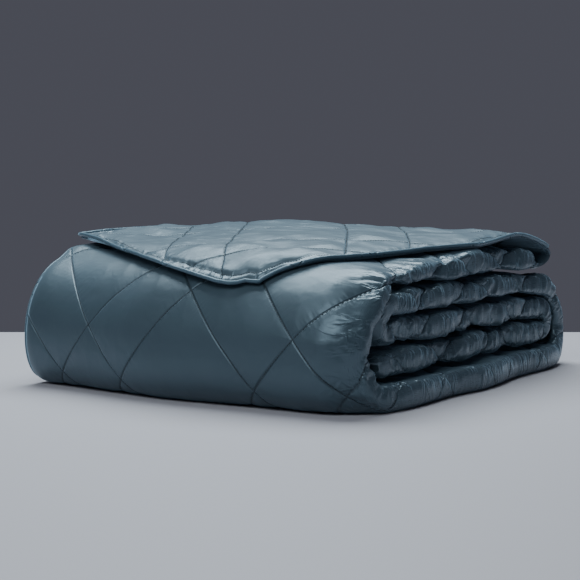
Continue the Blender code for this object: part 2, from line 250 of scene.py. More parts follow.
def ridges(u, v, seed):
    """Creases: thin ridges and broad troughs between them, from 0 to 1."""
    return (1 - np.clip(np.abs(noise(u, v, seed)) * 1.6, 0, 1)) ** 2


def settle(points):
    """Gives the straight layers the shape of a soft bundle. What lies on the floor stays there."""
    x, y, z = points[..., 0], points[..., 1], points[..., 2]
    crown = 1 + CROWN * (1 - ((x - CROWN_X) / (FOLD_END_X - CROWN_X)) ** 2)
    droop = 1 - DROOP * smooth(y, 0.36, 0.56)
    wave = WAVE * np.sin(WAVES_X * x + WAVES_Y * y) * np.clip(z / TOP_Z, 0, 1)
    bow = BOW * smooth(x, -0.26, 0.0) * (1 - smooth(x, 0.20, 0.265)) * (1 - smooth(y, -0.04, 0.30))
    peaked = PEAK * smooth(-x, 0.12, 0.25) * smooth(z, 0.135, 0.160)
    peak = peaked * smooth(y, 0.030, 0.065) * (1 - smooth(y, 0.12, 0.36))
    return np.stack([x, y - bow, z * crown * droop + wave + peak], axis=-1) + ORIGIN


def trace(row, start):
    """Points along one row of the section, after its start."""
    if isinstance(row, Run):
        end = np.array([row.to_y, row.to_z])
        count = max(2, round(float(np.linalg.norm(end - start)) / PATH_STEP))
        return start + (end - start) * np.arange(1, count + 1)[:, None] / count
    sweep = math.radians(row.to_deg - row.from_deg)
    count = max(6, round(abs(sweep) * max(row.reach, row.rise) / PATH_STEP))
    turns = math.radians(row.from_deg) + sweep * np.arange(1, count + 1) / count
    bent_y = row.centre_y + row.reach * np.cos(turns)
    bent_z = row.centre_z + row.rise * np.sin(turns)
    return np.stack([bent_y, bent_z], axis=1)


class Path:
    """A line in the plane of y and z, with its length, normal, thickness and rounded end all along it."""

    def __init__(self, start, rows, thick):
        points = [np.array([start])]
        values = [np.array([[thick, rows[0].fold]])]
        self.ends = [0]
        for row in rows:
            way = trace(row, points[-1][-1])
            values.append(np.linspace(values[-1][-1], (row.thick, row.fold), len(way) + 1)[1:])
            points.append(way)
            self.ends.append(self.ends[-1] + len(way))
        self.points = np.concatenate(points)
        self.values = np.concatenate(values)
        ways = unit(np.gradient(self.points, axis=0))
        self.normals = np.stack([-ways[:, 1], ways[:, 0]], axis=1)
        steps = np.linalg.norm(np.diff(self.points, axis=0), axis=1)
        self.lengths = np.concatenate([[0.0], np.cumsum(steps)])
        self.total = self.lengths[-1]

    def row_start(self, index):
        return self.lengths[self.ends[index]]

    def at(self, where):
        """(spots, normals, thicknesses, rounded ends) at these lengths along the path."""
        spots = [np.interp(where, self.lengths, self.points[:, k]) for k in (0, 1)]
        normals = [np.interp(where, self.lengths, self.normals[:, k]) for k in (0, 1)]
        thick, fold = (np.interp(where, self.lengths, self.values[:, k]) for k in (0, 1))
        return np.stack(spots, axis=-1), np.stack(normals, axis=-1), thick, fold


def seam_distance(first, second, offsets):
    """How far a point is from the nearest seam of either family, and the way along that seam."""
    nearest = np.full(np.shape(first), SEAM_PERIOD)
    along = np.zeros(np.shape(first))
    for value, other, offset in ((first, second, offsets[0]), (second, first, offsets[1])):
        for shift in (0.0, SEAM_PAIR):
            away = (value - offset - shift + SEAM_PERIOD / 2) % SEAM_PERIOD - SEAM_PERIOD / 2
            distance = np.abs(away) / math.sqrt(2)
            along = np.where(distance < nearest, other, along)
            nearest = np.minimum(nearest, distance)
    return nearest, along


def quilting(distance, along, depth, pucker, seed):
    """How far the quilting lifts a surface: a sharp trough at each seam, with small puckers across it."""
    crisp = np.exp(-distance / 0.004)
    broad = np.exp(-((distance / 0.026) ** 2))
    trough = -depth * (0.4 * crisp + 0.6 * broad)
    folds = noise(along / 0.011, distance / 0.030, seed) * np.exp(-distance / 0.012)
    folds = folds * smooth(distance, 0, 0.004)
    return trough + pucker * folds


# A point of a ring. Side is -1 on a layer's inner sheet and 1 on its outer sheet. Slit is 0 at the bottom
# of the slit between the sheets, 1 and 2 at the two points of the hem, and 3 beyond them.
Column = namedtuple("Column", "side x slit")

# A grid of points, once round a layer for each row, with its cloth coordinates and the seams' own ones
Skin = namedtuple("Skin", "points uvs masks first second")


def grid_steps(start, end, step):
    """Whole steps of the grid from start to end, both taken in."""
    return [round(start / GRID) * GRID + step * k for k in range(round((end - start) / step) + 1)]


def ring_columns(outer_fine, inner_fine):
    """The columns of one ring, once round a layer from the slit between its sheets.

    Each side is fine from outer_fine or inner_fine as far as the fold, from FLAT_END to FOLD_END_X.
    """
    def side(sign, fine):
        slit = [Column(sign, BOUND_END_X + PART * (1 - k / 3), k / 3) for k in (1, 2)]
        hem = [Column(sign, BOUND_END_X, 1), Column(sign, BOUND_END_X, 2)]
        coarse = fine > BOUND_END_X + 0.02
        near = [BOUND_END_X + reach for reach in (0.003, 0.007, 0.013)] if coarse else []
        flat = near + list(np.arange(BOUND_END_X + 0.022, fine - COARSE / 2, COARSE))
        flat += grid_steps(max(fine, BOUND_END_X + GRID), FLAT_END, GRID)
        fold = [FLAT_END + (FOLD_END_X - FLAT_END) * k / FOLD_STEPS for k in range(1, FOLD_STEPS)]
        return slit + hem + [Column(sign, x, 3) for x in flat + fold]

    middle = [Column(-1, BOUND_END_X + PART, 0)]
    return middle + side(-1, inner_fine) + [Column(1, FOLD_END_X, 3)] + side(1, outer_fine)[::-1] + middle


def column_values(columns):
    """The columns' sides, places in x and slits, each as one row."""
    return (np.array(values, dtype=float)[None] for values in zip(*columns))


def offset_points(x, spots, normals, offset):
    """Points this far from a path's spots, along its normals."""
    return np.stack([
        x,
        spots[..., 0] + normals[..., 0] * offset,
        spots[..., 1] + normals[..., 1] * offset,
    ], axis=-1)


def ring_shape(columns, half, fold, parted, hemmed):
    """(x, offset from the middle of the layer) of each column, with a row for each station."""
    side, nominal, slit = column_values(columns)
    half, fold, parted, hemmed = (values[:, None] for values in (half, fold, parted, hemmed))
    middle = parted * half / 2
    flat_end = fold - ROUND_BY
    beyond = (nominal - STRETCH_FROM) * (flat_end - STRETCH_FROM) / (FLAT_END - STRETCH_FROM)
    x = np.where(nominal > STRETCH_FROM, STRETCH_FROM + beyond, nominal)

    round_share = np.clip((nominal - FLAT_END) / (FOLD_END_X - FLAT_END), 0, 1)
    turn = round_share * math.pi / 2
    round_x = flat_end + ROUND_BY * np.sin(turn) ** SQUARE
    hem_x = flat_end + ROUND_BY * round_share
    in_round = nominal > FLAT_END
    x = np.where(in_round, round_x + (hem_x - round_x) * hemmed, x)

    taper = np.clip((nominal - BOUND_END_X) / (ROUND_BY * 1.2), 0, 1)
    edge = middle + HEM / 2
    offset = edge + (half - edge) * np.sin(taper * math.pi / 2) ** 0.8
    round_offset = half * np.cos(turn) ** SQUARE
    hem_offset = HEM / 2 + (half - HEM / 2) * (1 - smooth(round_share, 0.0, 0.9)) ** 0.7
    hem_offset = hem_offset * (1 - smooth(round_share, 0.97, 1.0))
    offset = np.where(in_round, round_offset + (hem_offset - round_offset) * hemmed, offset)

    inner = np.maximum(middle - HEM / 2, HEM / 4 * (1 - parted))
    slit_x = BOUND_END_X + PART * parted * (1 - slit)
    in_slit = slit < 1
    x = np.where(in_slit, slit_x, x)
    offset = np.where(in_slit, inner * slit ** 0.8, offset)
    offset = np.where(slit == 1, inner, offset)
    offset = np.where(slit == 2, edge, offset)
    return x, offset * side


def cloth_across(columns):
    """How far across the cloth each column lies. The cloth goes on round the fold to the other sheet."""
    share = np.array([np.clip((c.x - FLAT_END) / (FOLD_END_X - FLAT_END), 0, 1) for c in columns])
    flat = np.array([min(c.x, FLAT_END) for c in columns])
    outer = flat + share * ROUND_LENGTH
    inner = 2 * (FLAT_END + ROUND_LENGTH) - outer
    return np.where(np.array([c.side for c in columns]) > 0, outer, inner)


def add_object(name, data):
    """An object of this mesh, light or camera, in the scene."""
    obj = bpy.data.objects.new(name, data)
    bpy.context.scene.collection.objects.link(obj)
    return obj


def mesh_from(bm, name):
    data = bpy.data.meshes.new(name)
    bm.to_mesh(data)
    bm.free()
    return data


def vertex_places(data):
    """The vertices' coordinates."""
    flat = np.empty(len(data.vertices) * 3)
    data.vertices.foreach_get("co", flat)
    return flat.reshape(-1, 3)


def weld(data):
    """Joins vertices in the same place, drops what has no area, and turns the faces outward."""
    bm = bmesh.new()
    bm.from_mesh(data)
    bmesh.ops.remove_doubles(bm, verts=bm.verts, dist=1e-6)
    bmesh.ops.dissolve_degenerate(bm, edges=bm.edges, dist=1e-7)
    bmesh.ops.recalc_face_normals(bm, faces=bm.faces)
    bm.to_mesh(data)
    bm.free()


def grid_mesh(name, points, uvs, masks):
    """A mesh whose grid of vertices takes these places. Its first and last columns are welded."""
    rows, columns = points.shape[:2]
    bm = bmesh.new()
    bmesh.ops.create_grid(bm, x_segments=columns - 1, y_segments=rows - 1, size=1.0)
    data = mesh_from(bm, name)
    flat = vertex_places(data)
    column = np.rint((flat[:, 0] + 1) / 2 * (columns - 1)).astype(int)
    row = np.rint((flat[:, 1] + 1) / 2 * (rows - 1)).astype(int)
    order = row * columns + column
    data.vertices.foreach_set("co", points.reshape(-1, 3)[order].astype(np.float32).ravel())
    corner = np.empty(len(data.loops), dtype=int)
    data.loops.foreach_get("vertex_index", corner)
    layer = data.uv_layers.new(name="cloth")
    layer.data.foreach_set("uv", uvs.reshape(-1, 2)[order][corner].astype(np.float32).ravel())
    for mask, values in masks.items():
        attribute = data.attributes.new(mask, "FLOAT", "POINT")
        attribute.data.foreach_set("value", values.ravel()[order].astype(np.float32))
    data.attributes.new("place", "INT", "POINT").data.foreach_set("value", order.astype(np.int32))
    weld(data)
    data.shade_smooth()
    data.set_sharp_from_angle(angle=SHARP_ANGLE)
    return add_object(name, data)


def grid_places(piece, points):
    """The piece's points as they are now, in the order of its grid."""
    place = np.empty(len(piece.data.vertices), dtype=np.int32)
    piece.data.attributes["place"].data.foreach_get("value", place)
    moved = points.reshape(-1, 3).copy()
    moved[place] = vertex_places(piece.data)
    moved = moved.reshape(points.shape)
    moved[:, -1] = moved[:, 0]
    return moved


def weigh(piece, name):
    """A vertex group with the values of the attribute of this name, in even levels."""
    values = np.empty(len(piece.data.vertices))
    piece.data.attributes[name].data.foreach_get("value", values)
    group = piece.vertex_groups.new(name=name)
    for level in range(1, WEIGHT_LEVELS + 1):
        chosen = np.flatnonzero(np.rint(values * WEIGHT_LEVELS) == level)
        group.add(chosen.tolist(), level / WEIGHT_LEVELS, "REPLACE")


def add_cloth(piece, amount):
    """Cloth that grows and swells between its held vertices, without weight or collisions."""
    cloth = piece.modifiers.new("padding", "CLOTH")
    settings = cloth.settings
    settings.quality = PUFF_QUALITY
    settings.mass = PUFF_MASS
    settings.tension_stiffness = PUFF_STIFF
    settings.compression_stiffness = PUFF_STIFF
    settings.shear_stiffness = PUFF_SHEAR
    settings.bending_stiffness = PUFF_BENDING
    settings.tension_damping = PUFF_DAMPING
    settings.compression_damping = PUFF_DAMPING
    settings.shear_damping = PUFF_DAMPING
    settings.vertex_group_mass = "held"
    settings.vertex_group_shrink = "slack"
    settings.shrink_min = 0
    settings.shrink_max = -amount.growth
    settings.use_pressure = True
    settings.uniform_pressure_force = amount.pressure
    settings.effector_weights.gravity = 0
    cloth.collision_settings.use_collision = False
    cloth.point_cache.frame_start = 1
    cloth.point_cache.frame_end = PUFF_FRAMES
    return cloth


def puff(piece, amount):
    """Swells a padded piece between its held seams with Blender's cloth, and keeps the result."""
    scene = bpy.context.scene
    scene.frame_set(1)
    weigh(piece, "held")
    weigh(piece, "slack")
    cloth = add_cloth(piece, amount)
    for frame_number in range(1, PUFF_FRAMES + 1):
        scene.frame_set(frame_number)
    before = vertex_places(piece.data)
    swollen = piece.evaluated_get(bpy.context.evaluated_depsgraph_get())
    moved = vertex_places(swollen.data) - before
    reach = np.linalg.norm(moved, axis=1, keepdims=True)
    moved *= np.minimum(1, amount.most / np.maximum(reach, 1e-9))
    piece.modifiers.remove(cloth)
    piece.vertex_groups.clear()
    piece.data.vertices.foreach_set("co", (before + moved).astype(np.float32).ravel())
    piece.data.update()
    scene.frame_set(1)


def fold_gathers(across, climb, seed):
    """The gathers at the rounded folds: short creases across the layer, deeper towards the fold."""
    near = np.exp(-((across - FOLD_END_X) / 0.040) ** 2)
    bend = 0.9 * noise(climb / 0.055, across / 0.030, seed + 1)
    fine = ridges(climb / 0.017 + bend, across / 0.045, seed + 2)
    broad = noise(climb / 0.034 + bend, across / 0.060, seed + 3)
    patches = np.clip(0.55 + 0.9 * noise(climb / 0.060, across / 0.045, seed + 4), 0.05, 1.3)
    return near * (patches * (0.0036 * fine - 0.0006) + 0.0030 * broad)


def layer_lift(climb, across, nominal, distance, along, seed):
    """How far the quilting, the gathers and the cloth's unevenness lift the layers. The front is taut."""
    at_fold = np.exp(-((across - FOLD_END_X) / 0.030) ** 2)
    taut = smooth(climb, 0.0, 0.03) * (1 - smooth(climb, 0.16, 0.24)) * (1 - smooth(nominal, 0.12, 0.22))
    pinched = at_fold * smooth(climb, 0.12, 0.20)
    depth = 0.0046 - 0.0022 * taut + 0.0024 * at_fold + 0.0040 * pinched
    lift = quilting(distance, along, depth, 0.0008 - 0.0006 * taut, seed)
    lift += (0.0018 - 0.0008 * taut) * noise(across / 0.11 + 3, climb / 0.09, seed + 4)
    lift += 0.0006 * noise(across / 0.035, climb / 0.05, seed + 5) * (1 - 0.6 * taut)
    lift += 0.0006 * noise(across / 0.028, climb / 0.260, seed + 6) * taut
    return lift, taut


def layer_shown(columns, climb):
    """How much of its lift each point takes: little of it on the floor or inside, and none at the hems."""
    side, nominal, slit = column_values(columns)
    on_face = smooth(nominal, BOUND_END_X + 0.002, BOUND_END_X + 0.020) * (slit > 2)
    on_floor = smooth(climb, -0.62, -0.56) * (1 - smooth(climb, -0.03, 0.03))
    near_end = smooth(nominal, 0.185, 0.225)
    outside = np.maximum(1 - on_floor, near_end * (1 - 0.8 * on_floor))
    shown = np.where(side > 0, outside, near_end)
    return shown * on_face * (1 - 0.7 * on_floor * (nominal > FLAT_END))


def layer_masks(across, distance, shown, taut, hemmed):
    """How firmly the layers' points are held, how slack the cloth is, and where it is gathered."""
    held = np.where(distance < GRID * 0.36, 1.0, 0.0)
    held = np.maximum(held, 1 - smooth(shown, 0.05, 0.6))
    held = np.maximum(held, hemmed)
    gather = np.exp(-((across - FOLD_END_X - 0.004) / 0.034) ** 2) * (1 - hemmed)
    slack = np.clip(gather + 0.12 - 0.12 * taut, 0, 1)
    return {"held": held, "slack": slack, "gather": gather}


def layer_surface(path, stations, columns, foot, seed):
    """The skin of the layers at these stations: points, cloth coordinates and how firmly each is held."""
    spots, normals, thick, fold = path.at(stations)
    parted = smooth(stations, 0.0, 0.03) * (1 - smooth(stations, path.total - 0.10, path.total))
    hemmed = smooth(stations, path.total - 0.07, path.total)
    fold = fold + WAVER * np.sin(WAVER_TURN * stations) * (1 - hemmed)
    nose = np.sqrt(1 - (1 - np.clip(stations / NOSE, 0, 1)) ** 2)
    x, offset = ring_shape(columns, thick / 2 * nose, fold, parted, hemmed)
    side, nominal, _ = column_values(columns)
    climb = (stations - foot)[:, None] * np.ones_like(x)
    across = cloth_across(columns)[None] * np.ones_like(x)
    hemmed = hemmed[:, None]

    distance, along = seam_distance(across + climb, across - climb, (RISING_SEAM, FALLING_SEAM))
    lift, taut = layer_lift(climb, across, nominal, distance, along, seed)
    lift += fold_gathers(across, climb, seed + 10) * (1 - hemmed)
    shown = layer_shown(columns, climb)
    to_flap = 1 - smooth(stations, path.total - 0.035, path.total - 0.003)
    lift = lift * shown * to_flap[:, None]
    share = np.clip((nominal - FLAT_END) / (FOLD_END_X - FLAT_END), 0, 1)
    tip = np.sin(share * math.pi / 2) * (1 - hemmed)
    moved = offset + lift * side * np.sqrt(1 - tip ** 2)
    points = offset_points(x + lift * tip, spots[:, None], normals[:, None], moved)
    uvs = np.stack([across, climb], axis=-1)
    masks = layer_masks(across, distance, shown, taut, hemmed)
    return Skin(settle(points), uvs, masks, across + climb, across - climb)


def doubled(values):
    """The same rows, with the first and the last one twice."""
    return np.concatenate([values[:1], values, values[-1:]])


def capped(skin):
    """The same skin with a row at each end drawn in to one point, which closes it."""
    def drawn_in(row):
        return np.repeat(row.mean(axis=0)[None], len(row), axis=0)[None]

    points = np.concatenate([drawn_in(skin.points[0]), skin.points, drawn_in(skin.points[-1])])
    masks = {name: doubled(values) for name, values in skin.masks.items()}
    return Skin(points, doubled(skin.uvs), masks, doubled(skin.first), doubled(skin.second))


def layer_piece(name, path, start, end, foot, outer_fine):
    """One stretch of the layers. Its rings keep to the quilting's grid, apart from the first and last."""
    first = math.ceil((start - foot - FIRST_RING) / GRID + 0.5)
    last = math.floor((end - foot - FIRST_RING) / GRID - 0.5)
    rings = [foot + FIRST_RING + GRID * k for k in range(first, last + 1)]
    stations = np.array([start] + rings + [end])
    skin = layer_surface(path, stations, ring_columns(outer_fine, INNER_FINE), foot, LAYER_SEED)
    to_end = np.minimum(stations - start, end - stations)[:, None]
    skin.masks["held"] = np.maximum(skin.masks["held"], 1 - smooth(to_end, 0.002, 0.012))
    skin = capped(skin)
    return grid_mesh(name, skin.points, skin.uvs, skin.masks), skin


def flap_columns():
    """(side, share of the width) once round the flap from its bound edge, on top first and then below."""
    near = list(FLAP_EDGE_STEPS)
    far = list(1 - np.array(near[::-1]))
    top = near + list(np.arange(0.0395, 0.962, FLAP_STEP)) + far
    below = near[:3] + list(np.arange(0.04, 0.96, FLAP_COARSE)) + far[-3:]
    edge = [Column(-1, -0.0001, 3)]
    above = [Column(-1, share, 3) for share in top]
    return edge + above + [Column(1, share, 3) for share in below[::-1]] + edge


def flap_top():
    """How many of the flap's columns lie on top of it."""
    return len([column for column in flap_columns() if column.side < 0])


# Where the flap's grid lies: across, along its path, and from the path's start and the flap's edges
FlapGrid = namedtuple("FlapGrid", "x lengths reach to_right to_front to_side")


def flap_grid(path):
    """The flap's grid. Its right edge turns in towards the front, and its front edge runs askew."""
    share_x = np.clip(np.array([column.x for column in flap_columns()])[None], 0, 1)
    rows = np.linspace(0, 0.97, round(path.total * 0.97 / GRID))
    shares = np.concatenate([rows, np.linspace(0.973, 1, 7)])[:, None]
    reach = path.total * shares
    at_y = path.at(reach[:, 0])[0][:, 0]
    right = np.interp(at_y, [e.y for e in FLAP_EDGE], [e.x for e in FLAP_EDGE])[:, None]
    x = BOUND_END_X + (right - BOUND_END_X) * share_x
    short = np.interp(x, [p.x for p in FLAP_FRONT], [p.short for p in FLAP_FRONT])
    lengths = (path.total - short) * shares
    to_front = path.total * (1 - shares) + 0 * x
    return FlapGrid(x, lengths, reach, right - x, to_front, np.minimum(right - x, x - BOUND_END_X))


def flap_lift(grid, to_edge, distance, along, seed):
    """How far the quilting, soft waves and the gathers along the hem lift the flap."""
    x, lengths = grid.x, grid.lengths
    lift = quilting(distance, along, 0.0034, 0.0008, seed)
    lift += 0.0022 * noise(x / 0.07, lengths / 0.05, seed + 1)
    lift += 0.0010 * noise(x / 0.030, lengths / 0.022, seed + 6)
    lift += 0.0013 * (ridges(x / 0.060, lengths / 0.040, seed + 2) - 0.3)
    way = np.where(grid.to_front < grid.to_side, x, lengths)
    near_hem = np.exp(-((to_edge - HEM_ROW) / 0.010) ** 2)
    lift += 0.0010 * noise(way / 0.010, to_edge / 0.03, seed + 3) * near_hem
    lift -= 0.0012 * np.exp(-((to_edge - HEM_ROW) / 0.0028) ** 2)
    return lift * (smooth(to_edge, 0.001, 0.008) * smooth(grid.reach, 0.003, 0.035))


def flap_masks(grid, to_edge, distance, top):
    """How firmly the flap's points are held, how slack the cloth is, and where it is gathered."""
    held = np.where((distance < 0.0014) | (to_edge < 0.0035), 1.0, 0.0)
    held = np.maximum(held, np.exp(-((to_edge - HEM_ROW) / 0.0016) ** 2))
    held = np.maximum(held, 1 - smooth(grid.reach, 0.004, 0.02))
    gather = np.exp(-((to_edge - HEM_ROW / 2) / 0.008) ** 2)
    return {"held": np.where(top, held, 1.0), "slack": 0.5 + 0.5 * gather, "gather": 0.5 * gather}


def flap_surface(path, seed):
    """The flap's skin, and how far its points are from its edges."""
    grid = flap_grid(path)
    side = np.array([column.side for column in flap_columns()], dtype=float)[None]
    top = side < 0
    to_edge = np.minimum(grid.to_front, grid.to_side)
    spots, normals, thick, _ = path.at(grid.lengths)
    turned_x = grid.x * math.cos(FLAP_TURN) + spots[..., 0] * math.sin(FLAP_TURN)
    turned_y = -grid.x * math.sin(FLAP_TURN) + spots[..., 0] * math.cos(FLAP_TURN)
    first, second = turned_x * math.sqrt(2), turned_y * math.sqrt(2)
    distance, along = seam_distance(first, second, FLAP_SEAMS)
    lift = flap_lift(grid, to_edge, distance, along, seed)
    half = HEM / 2 + (thick - HEM) / 2 * smooth(to_edge, 0.0, FRONT_HEM) ** 0.7
    settled = SIDE_DROP * (1 - smooth(grid.to_right, 0.0, 0.055)) * smooth(grid.reach, 0.10, 0.25)
    offset = side * half - np.where(top, lift, 0.0) + settled
    points = offset_points(grid.x, spots, normals, offset)
    rising = first - FLAP_SEAMS[0] + RISING_SEAM
    falling = second - FLAP_SEAMS[1] + FALLING_SEAM
    uvs = np.stack([(rising + falling) / 2, (rising - falling) / 2], axis=-1)
    masks = flap_masks(grid, to_edge, distance, top)
    edges = {"to_front": doubled(grid.to_front), "to_side": doubled(grid.to_right)}
    return Skin(settle(points), uvs, masks, rising, falling), edges


def flap_piece(name, path):
    skin, edges = flap_surface(path, FLAP_SEED)
    skin = capped(skin)
    return grid_mesh(name, skin.points, skin.uvs, skin.masks), skin, edges


def outward_normals(points):
    """The skin's normals at each point of its grid."""
    normals = np.cross(np.gradient(points, axis=0), np.gradient(points, axis=1))
    normals /= np.maximum(np.linalg.norm(normals, axis=-1, keepdims=True), 1e-12)
    middles = points.mean(axis=1, keepdims=True)
    return normals * np.sign(((points - middles) * normals).sum())


def seam_line(points, normals, values, target):
    """Where each row's values reach the target: the places and normals of a line that crosses the rows."""
    rows, starts = np.nonzero((values[:, :-1] - target) * (values[:, 1:] - target) < 0)
    low, high = values[rows, starts], values[rows, starts + 1]
    share = ((target - low) / (high - low))[:, None]
    places = points[rows, starts] * (1 - share) + points[rows, starts + 1] * share
    return places, unit(normals[rows, starts] * (1 - share) + normals[rows, starts + 1] * share)


def seam_targets(values, offset):
    """The values that one family's seams have, as far as these values reach."""
    targets = []
    for shift in (0.0, SEAM_PAIR):
        first = math.ceil((values.min() - offset - shift) / SEAM_PERIOD)
        last = math.floor((values.max() - offset - shift) / SEAM_PERIOD)
        targets += [offset + shift + SEAM_PERIOD * k for k in range(first, last + 1)]
    return targets


def stitch_shape():
    """One stitch, as a small lens of a few faces."""
    bm = bmesh.new()
    bmesh.ops.create_icosphere(bm, subdivisions=1, radius=1.0)
    return mesh_from(bm, "stitch")


def line_at(where, along, values):
    """The place or direction this far along a line."""
    return np.array([np.interp(where, along, values[:, k]) for k in range(3)])


def sew_line(bm, stitch, line, normals):
    """Stitches along a line of points, at an even pitch. A break in the line has none."""
    if len(line) < 4:
        return
    steps = np.linalg.norm(np.diff(line, axis=0), axis=1)
    along = np.concatenate([[0.0], np.cumsum(steps)])
    for start in np.arange(STITCH_PITCH / 2, along[-1] - STITCH_PITCH, STITCH_PITCH):
        if steps[min(np.searchsorted(along, start), len(steps) - 1)] > 3 * STITCH_PITCH:
            continue
        near, far = line_at(start, along, line), line_at(start + STITCH_LONG, along, line)
        up = unit(line_at(start, along, normals))
        way = (far - near) / 2
        side = unit(np.cross(up, way)) * STITCH_WIDE / 2
        middle = (near + far) / 2 + up * STITCH_WIDE * STITCH_FLAT / 2
        matrix = Matrix((way, side, up * STITCH_WIDE * STITCH_FLAT)).transposed().to_4x4()
        matrix.translation = Vector(middle)
        copy = stitch.copy()
        copy.transform(matrix)
        bm.from_mesh(copy)
        bpy.data.meshes.remove(copy)


def sewn_piece(name, bm, thread):
    data = mesh_from(bm, name)
    data.shade_smooth()
    finish_piece(add_object(name, data), thread, "satin_cloth")


def sew_layers(name, skin, points, fine_from, thread):
    """The quilting's stitches, where a stretch of the layers shows."""
    normals = outward_normals(points[1:-1])
    across = skin.uvs[1, :, 0]
    shown = np.flatnonzero((across > fine_from + 0.012) & (across < FOLD_END_X + 0.012))
    bm = bmesh.new()
    stitch = stitch_shape()
    for values, offset in ((skin.first, RISING_SEAM), (skin.second, FALLING_SEAM)):
        values = values[1:-1][:, shown]
        for target in seam_targets(values, offset):
            sew_line(bm, stitch, *seam_line(points[1:-1][:, shown], normals[:, shown], values, target))
    sewn_piece(name, bm, thread)


def sew_flap(name, skin, edges, points, thread):
    """The stitches of the flap's quilting, and the row along its hem."""
    points = points[1:-1]
    normals = outward_normals(points)
    top = np.arange(1, flap_top() - 1)
    points, normals = points[:, top], normals[:, top]
    inside = (edges["to_front"] > HEM_ROW) & (edges["to_side"] > HEM_ROW)
    inside = inside[1:-1][:, top]
    bm = bmesh.new()
    stitch = stitch_shape()
    for values, offset, turned in ((skin.first, RISING_SEAM, False), (skin.second, FALLING_SEAM, True)):
        values = values[1:-1][:, top]
        for target in seam_targets(values, offset):
            if turned:
                kept = np.where(inside, values, np.nan).T
                line = seam_line(points.transpose(1, 0, 2), normals.transpose(1, 0, 2), kept, target)
            else:
                line = seam_line(points, normals, np.where(inside, values, np.nan), target)
            sew_line(bm, stitch, *line)
    to_front, to_side = (edges[key][1:-1][:, top] for key in ("to_front", "to_side"))
    front = np.where(to_side > HEM_ROW, to_front, np.nan)
    side = np.where(to_front > HEM_ROW, to_side, np.nan)
    sew_line(bm, stitch, *seam_line(points.transpose(1, 0, 2), normals.transpose(1, 0, 2), front.T, HEM_ROW))
    sew_line(bm, stitch, *seam_line(points, normals, side, HEM_ROW))
    sewn_piece(name, bm, thread)


def feed(tree, socket, value):
    """Links a socket to another node's output, or sets its value."""
    if isinstance(value, bpy.types.NodeSocket):
        tree.links.new(value, socket)
    else:
        socket.default_value = value


def maths(tree, operation, *values):
    node = tree.nodes.new("ShaderNodeMath")
    node.operation = operation
    for socket, value in zip(node.inputs, values):
        feed(tree, socket, value)
    return node.outputs[0]


def ramp(tree, value, from_min, from_max, to_min, to_max):
    """A smooth step from one value to another."""
    node = tree.nodes.new("ShaderNodeMapRange")
    node.interpolation_type = "SMOOTHSTEP"
    for socket, setting in zip(node.inputs, (value, from_min, from_max, to_min, to_max)):
        feed(tree, socket, setting)
    return node.outputs["Result"]


def noise_texture(tree, vector, scale, detail, roughness=0.5, distortion=0.0):
    node = tree.nodes.new("ShaderNodeTexNoise")
    names = ("Vector", "Scale", "Detail", "Roughness", "Distortion")
    for name, value in zip(names, (vector, scale, detail, roughness, distortion)):
        feed(tree, node.inputs[name], value)
    return node.outputs["Fac"]


def scaled_vector(tree, x, y, scale_x, scale_y):
    """A vector of these two values, each times its own scale."""
    node = tree.nodes.new("ShaderNodeCombineXYZ")
    feed(tree, node.inputs["X"], maths(tree, "MULTIPLY", x, scale_x))
    feed(tree, node.inputs["Y"], maths(tree, "MULTIPLY", y, scale_y))
    return node.outputs["Vector"]


def split_vector(tree, vector):
    node = tree.nodes.new("ShaderNodeSeparateXYZ")
    feed(tree, node.inputs[0], vector)
    return node.outputs["X"], node.outputs["Y"]


def mixed_colour(tree, factor, low, high):
    """A colour between two others, each of them a socket or a plain colour."""
    node = tree.nodes.new("ShaderNodeMix")
    node.data_type = "RGBA"
    for name, value in (("Factor", factor), ("A", low), ("B", high)):
        feed(tree, node.inputs[name], value)
    return node.outputs["Result"]


def toned(colour, share):
    return (*(value * share for value in colour), 1)


def new_material(name):
    """A material, its node tree and its shader."""
    material = bpy.data.materials.new(name)
    material.use_nodes = True
    tree = material.node_tree
    return material, tree, tree.nodes["Principled BSDF"]


def shader_group(name, inputs, outputs):
    """A new node group and its input and output nodes, with these sockets."""
    tree = bpy.data.node_groups.new(name, "ShaderNodeTree")
    for label, kind in inputs:
        tree.interface.new_socket(name=label, in_out="INPUT", socket_type=kind)
    for label, kind in outputs:
        tree.interface.new_socket(name=label, in_out="OUTPUT", socket_type=kind)
    return tree, tree.nodes.new("NodeGroupInput"), tree.nodes.new("NodeGroupOutput")


def quilting_group():
    """How far a point of the cloth lies from the nearest seam, and how far along that seam."""
    tree, source, result = shader_group(
        "quilting_seams", [("Cloth", "NodeSocketVector")],
        [("Distance", "NodeSocketFloat"), ("Along", "NodeSocketFloat")])
    x, y = split_vector(tree, source.outputs["Cloth"])
    first = maths(tree, "ADD", x, y)
    second = maths(tree, "SUBTRACT", x, y)
    nearest = []
    for value, offset in ((first, RISING_SEAM), (second, FALLING_SEAM)):
        distances = []
        for shift in (0.0, SEAM_PAIR):
            away = maths(tree, "SUBTRACT", value, offset + shift)
            away = maths(tree, "WRAP", away, SEAM_PERIOD / 2, -SEAM_PERIOD / 2)
            away = maths(tree, "ABSOLUTE", away)
            distances.append(maths(tree, "MULTIPLY", away, 1 / math.sqrt(2)))
        nearest.append(maths(tree, "MINIMUM", *distances))
    falling = maths(tree, "LESS_THAN", nearest[1], nearest[0])
    apart = maths(tree, "SUBTRACT", first, second)
    feed(tree, result.inputs["Distance"], maths(tree, "MINIMUM", *nearest))
    feed(tree, result.inputs["Along"], maths(tree, "MULTIPLY_ADD", falling, apart, second))
    return tree


